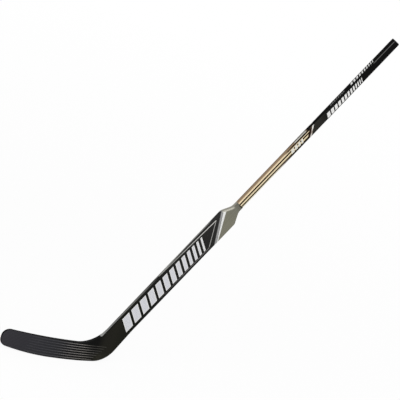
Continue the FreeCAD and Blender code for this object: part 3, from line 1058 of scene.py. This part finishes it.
class RidgeTree:
    """Fine beads that follow the blade's curve from heel to toe."""

    SOCKETS = {
        **dict.fromkeys(("Count", "Points"), "Int"),
        **dict.fromkeys((
            "Start", "Start Lean", "End", "Heel Fade", "Toe Fade", "Lowest Share", "Share Step", "Radius", "Level",
            "Setback", "Curve Start", "Curve Radius", "Rocker Start", "Rocker Radius", "Heel Height", "Top Slope",
        ), "Float"),
        "Material": "Material",
    }
    # The ends keep this share of a bead's radius, so that its mesh is closed.
    THINNEST = 0.02
    RING_SIDES = 8

    @staticmethod
    def fall(tree: Tree, along: Socket, start: Socket, radius: Socket) -> Socket:
        """Return how far an arc has left its tangent.

        Args:
            tree: The geometry tree.
            along: Place along the blade.
            start: Where the arc starts.
            radius: The arc's radius.

        Returns:
            The distance, zero before the arc.
        """
        run = calc(tree, "SUBTRACT", along, start)
        run = calc(tree, "MAXIMUM", run, 0.0)
        sine = calc(tree, "DIVIDE", run, radius)
        angle = calc(tree, "ARCSINE", sine)
        cosine = calc(tree, "COSINE", angle)
        left = calc(tree, "SUBTRACT", 1.0, cosine)
        return calc(tree, "MULTIPLY", radius, left)

    def build(self) -> Tree:
        """Build the tree.

        Returns:
            The geometry tree.
        """
        tree, given = new_tree("blade_ridges", self.SOCKETS)
        line = add_node(tree, "GeometryNodeCurvePrimitiveLine", {"End": (1.0, 0.0, 0.0)})
        line = add_node(tree, "GeometryNodeResampleCurve", {"Curve": line, "Count": given["Points"]})
        stack = add_node(tree, "GeometryNodeMeshLine", {"Count": given["Count"], "Offset": (0.0, 1.0, 0.0)})
        lines = add_node(tree, "GeometryNodeInstanceOnPoints", {"Points": stack, "Instance": line})
        lines = add_node(tree, "GeometryNodeRealizeInstances", {0: lines})
        here = add_node(tree, "GeometryNodeInputPosition")
        local = add_node(tree, "ShaderNodeSeparateXYZ", {0: here}).node.outputs
        share = calc(tree, "MULTIPLY_ADD", local[1], given["Share Step"], given["Lowest Share"])
        # The starts follow the slanted back of the heel.
        start = calc(tree, "MULTIPLY_ADD", share, given["Start Lean"], given["Start"])
        along = remap(tree, local[0], 0.0, 1.0, start, given["End"])
        curve = self.fall(tree, along, given["Curve Start"], given["Curve Radius"])
        sole = self.fall(tree, along, given["Rocker Start"], given["Rocker Radius"])
        top = calc(tree, "MULTIPLY_ADD", along, given["Top Slope"], given["Heel Height"])
        rise = calc(tree, "SUBTRACT", top, sole)
        height = calc(tree, "MULTIPLY_ADD", rise, share, sole)
        across = calc(tree, "SUBTRACT", given["Setback"], along)
        depth = calc(tree, "ADD", given["Level"], curve)
        spot = add_node(tree, "ShaderNodeCombineXYZ", {0: across, 1: depth, 2: height})
        # Each bead thins away into the surface at both ends.
        toe_start = calc(tree, "SUBTRACT", 1.0, given["Toe Fade"])
        from_heel = remap(tree, local[0], 0.0, given["Heel Fade"])
        from_toe = remap(tree, local[0], 1.0, toe_start)
        swell = calc(tree, "MINIMUM", from_heel, from_toe)
        swell = calc(tree, "MAXIMUM", swell, self.THINNEST)
        thick = calc(tree, "MULTIPLY", swell, given["Radius"])
        lines = add_node(tree, "GeometryNodeStoreNamedAttribute", {"Geometry": lines, "Name": "bead", "Value": thick})
        lines = add_node(tree, "GeometryNodeSetPosition", {"Geometry": lines, "Position": spot})
        bead = add_node(tree, "GeometryNodeInputNamedAttribute", {"Name": "bead"}, data_type="FLOAT")
        ring = add_node(tree, "GeometryNodeCurvePrimitiveCircle", {"Resolution": self.RING_SIDES, "Radius": 1.0})
        beads = add_node(tree, "GeometryNodeCurveToMesh", {
            "Curve": lines, "Profile Curve": ring, "Scale": bead, "Fill Caps": True})
        close_tree(tree, beads, given["Material"])
        return tree


@dataclass
class Blade:
    """The heel and blade, with fine ridges on both faces.

    Attributes:
        length: Length from the heel's corner to the toe, in mm.
        curve_depth: How far the toe's middle stands off the heel's plane, in mm.
        toe_half: Half the thickness at the toe, in mm.
        back_start: Where the back starts to curve, in mm.
        front_start: Where the front starts to curve, in mm.
        rocker_start: Where the sole starts to rise, in mm.
        toe_lift: How far the sole has risen at the toe, in mm.
        heel_height: Height of the top line at the heel, in mm.
        toe_height: Height of the top line at the toe, in mm.
        ridges: Number of ridges on each face.
        ridge_start: Where the ridges would start at the sole, in mm.
        ridge_lean: How far their start shifts from the sole to the top line, in mm.
        ridge_end: Where they end, in mm.
        ridge_radius: Radius of a ridge, in mm.
        ridge_proud: How far a ridge stands out of the face, in mm.
        ridge_points: Number of points along a ridge.
        heel_fade: Share of a ridge's length over which it swells at the heel.
        toe_fade: Share of its length over which it thins towards the toe.
        lowest_share: Height of the lowest ridge, as a share of the blade's height.
        share_step: Share of the height from one ridge to the next.
    """

    length: float = 404.5
    curve_depth: float = 50.0
    toe_half: float = 3.5
    back_start: float = 74.0
    front_start: float = 115.0
    rocker_start: float = 212.0
    toe_lift: float = 16.0
    heel_height: float = 63.5
    toe_height: float = 78.0
    ridges: int = 7
    ridge_start: float = 42.0
    ridge_lean: float = -60.0
    ridge_end: float = 375.0
    ridge_radius: float = 1.4
    ridge_proud: float = 0.5
    ridge_points: int = 90
    heel_fade: float = 0.06
    toe_fade: float = 0.25
    lowest_share: float = 0.12
    share_step: float = 0.132

    def paint(self) -> None:
        """Dress the blade's nodes."""
        dress(["blade_back_skin", "blade_front_skin"], WovenLaminate())
        dress(["blade_top_rail", "blade_sole_strip", "blade_toe_cap", "heel_block"], HardEdging())
        dress(["blade_upper_foam_core", "blade_lower_foam_core"], RigidFoam())
        dress(["blade_stiffening_rib"], GlassRib())

    def radius(self, start: float, drop: float) -> float:
        """Return the radius of an arc that leaves its tangent at a start and falls by a drop at the toe.

        Args:
            start: Where the arc starts along the blade, in mm.
            drop: How far it has left its tangent at the toe, in mm.

        Returns:
            The radius, in mm.
        """
        return ((self.length - start) ** 2 + drop ** 2) / (2 * drop)

    def raise_ridges(self, tree: Tree) -> None:
        """Lay the ridges on both faces.

        Args:
            tree: The tree of ridges.
        """
        thinning = STICK.heel_half - self.toe_half
        sunk = STICK.heel_half - self.ridge_radius + self.ridge_proud
        curves = {
            Face.BACK: (self.back_start, self.curve_depth + thinning),
            Face.FRONT: (self.front_start, self.curve_depth - thinning),
        }
        for face, (start, drop) in curves.items():
            grow(f"blade_ridges_{face.name.lower()}", tree, {
                "Count": self.ridges,
                "Points": self.ridge_points,
                "Start": self.ridge_start * MM,
                "Start Lean": self.ridge_lean * MM,
                "End": self.ridge_end * MM,
                "Heel Fade": self.heel_fade,
                "Toe Fade": self.toe_fade,
                "Lowest Share": self.lowest_share,
                "Share Step": self.share_step,
                "Radius": self.ridge_radius * MM,
                "Level": -face.value * sunk * MM,
                "Setback": STICK.setback * MM,
                "Curve Start": start * MM,
                "Curve Radius": self.radius(start, drop) * MM,
                "Rocker Start": self.rocker_start * MM,
                "Rocker Radius": self.radius(self.rocker_start, self.toe_lift) * MM,
                "Heel Height": self.heel_height * MM,
                "Top Slope": (self.toe_height - self.heel_height) / self.length,
                "Material": RidgeResin().material(),
            })


@dataclass
class Studio:
    """A plain pale floor, soft lamps and a white surround.

    Attributes:
        floor_size: Side of the floor, in metres.
        floor_tone: The floor's hex colour.
        floor_white: Share of plain white in the floor as it is seen, the rest being lit and shaded.
        floor_fade: Distances from the stick between which the rest fades to plain white, in metres.
        surround: Strength of the surround's own light.
        lamp_size: Side of each lamp, in metres.
        key_power: Power of the main lamp, in watts.
        key_offset: Its place from the stick's middle, in metres.
        fill_power: Power of the second lamp, in watts.
        fill_offset: Its place from the stick's middle, in metres.
    """

    floor_size: float = 40.0
    floor_tone: str = "#f2f2f2"
    floor_white: float = 0.92
    floor_fade: Span = (0.9, 3.5)
    surround: float = 0.55
    lamp_size: float = 4.0
    key_power: float = 130.0
    key_offset: Triple = (-2.6, -2.0, 3.6)
    fill_power: float = 45.0
    fill_offset: Triple = (2.5, -3.0, 2.0)

    @staticmethod
    def seen(tree: Tree) -> Socket:
        """Return 1 for rays from the camera and for reflections, and 0 for the light itself.

        Args:
            tree: The node tree of the floor or the surround.

        Returns:
            The share.
        """
        path = add_node(tree, "ShaderNodeLightPath").node.outputs
        either = calc(tree, "MAXIMUM", path["Is Camera Ray"], path["Is Glossy Ray"])
        return calc(tree, "MAXIMUM", either, path["Is Transmission Ray"])

    def lay_floor(self) -> None:
        """Make the floor at the sole, white to the eye and still able to take a shadow."""
        half = self.floor_size / 2
        corners = [(-half, -half, 0.0), (half, -half, 0.0), (half, half, 0.0), (-half, half, 0.0)]
        mesh = bpy.data.meshes.new("floor")
        mesh.from_pydata(corners, [], [(0, 1, 2, 3)])
        floor = add_object("floor", mesh)
        paper = bpy.data.materials.new("white_backdrop_paper")
        tree = clear_nodes(paper)
        lit = add_node(tree, "ShaderNodeBsdfDiffuse", {0: linear(self.floor_tone)})
        glow = add_node(tree, "ShaderNodeEmission", {0: WHITE, 1: 1.0})
        here = add_node(tree, "ShaderNodeTexCoord", output="Object")
        away = add_node(tree, VECTOR_MATH, [here], "Value", operation="LENGTH")
        white = remap(tree, away, *self.floor_fade, self.floor_white)
        share = calc(tree, "MULTIPLY", self.seen(tree), white)
        mixed = add_node(tree, "ShaderNodeMixShader", {0: share, 1: lit, 2: glow})
        add_node(tree, "ShaderNodeOutputMaterial", {"Surface": mixed})
        mesh.materials.append(paper)

    def light(self) -> None:
        """Set the surround and the lamps."""
        world = bpy.data.worlds.new("white_surround")
        bpy.context.scene.world = world
        tree = clear_nodes(world)
        strength = remap(tree, self.seen(tree), 0.0, 1.0, self.surround)
        glow = add_node(tree, "ShaderNodeBackground", {0: WHITE, 1: strength})
        add_node(tree, "ShaderNodeOutputWorld", {"Surface": glow})
        middle = (CAD_BOX[0] + CAD_BOX[1]) / 2
        self.hang_lamp("key_lamp", middle, Vector(self.key_offset), self.key_power)
        self.hang_lamp("fill_lamp", middle, Vector(self.fill_offset), self.fill_power)
        bpy.context.scene.view_settings.view_transform = "Standard"

    def hang_lamp(self, name: str, target: Vector, offset: Vector, power: float) -> None:
        """Hang a soft lamp that faces the stick.

        Args:
            name: The lamp's name.
            target: The point that it faces, in metres.
            offset: Its place from there, in metres.
            power: Its power, in watts.
        """
        data = bpy.data.lights.new(name, "AREA")
        data.size = self.lamp_size
        data.energy = power
        lamp = add_object(name, data)
        lamp.location = target + offset
        lamp.rotation_euler = offset.to_track_quat("Z", "Y").to_euler()


@dataclass
class PhotoCamera:
    """A long lens at the photograph's angle.

    Attributes:
        rise_deg: Angle of the shaft above the picture's bottom edge, in degrees.
        tilt_deg: How far the view leans from square on the back towards the paddle's upper side, in degrees.
        centre: The picture's middle, to the right of and above the heel's level, in mm.
        view_width: Width of the view at the stick, in mm.
        lens: Focal length, in mm.
        sensor: Width of the sensor, in mm.
        nearest: Nearest distance that is drawn, in metres.
        reach: Farthest distance that is drawn, in distances to the stick.
    """

    rise_deg: float = 46.2065
    tilt_deg: float = 42.6
    centre: Span = (357.46, 528.91)
    view_width: float = 1360.8
    lens: float = 1400.0
    sensor: float = 36.0
    nearest: float = 1.0
    reach: float = 4.0

    def place(self) -> None:
        """Make the camera and use it."""
        along, across, outward = STICK.axes()
        tilt, rise = math.radians(self.tilt_deg), math.radians(self.rise_deg)
        back = outward * math.cos(tilt) + across * math.sin(tilt)
        side = across * math.cos(tilt) - outward * math.sin(tilt)
        right = along * math.cos(rise) - side * math.sin(rise)
        upward = along * math.sin(rise) + side * math.cos(rise)
        target = STICK.origin() + (right * self.centre[0] + upward * self.centre[1]) * MM
        distance = self.view_width * MM * self.lens / self.sensor
        data = bpy.data.cameras.new("photo_camera")
        data.lens, data.sensor_width = self.lens, self.sensor
        data.clip_start, data.clip_end = self.nearest, self.reach * distance
        camera = add_object("photo_camera", data)
        turn = Matrix((right, upward, back)).transposed().to_4x4()
        camera.matrix_world = Matrix.Translation(target + back * distance) @ turn
        bpy.context.scene.camera = camera


def main() -> None:
    """Build the stick's looks, the studio and the camera."""
    logging.basicConfig(level=logging.INFO, format="%(name)s: %(message)s")
    bars, ridges = BarTree().build(), RidgeTree().build()
    blade, paddle, shaft = Blade(), Paddle(), Shaft()
    blade.paint()
    blade.raise_ridges(ridges)
    paddle.paint()
    paddle.print_rows(bars)
    shaft.paint()
    shaft.print_rows(bars)
    studio = Studio()
    studio.lay_floor()
    studio.light()
    PhotoCamera().place()


if __name__ == "__main__":
    main()
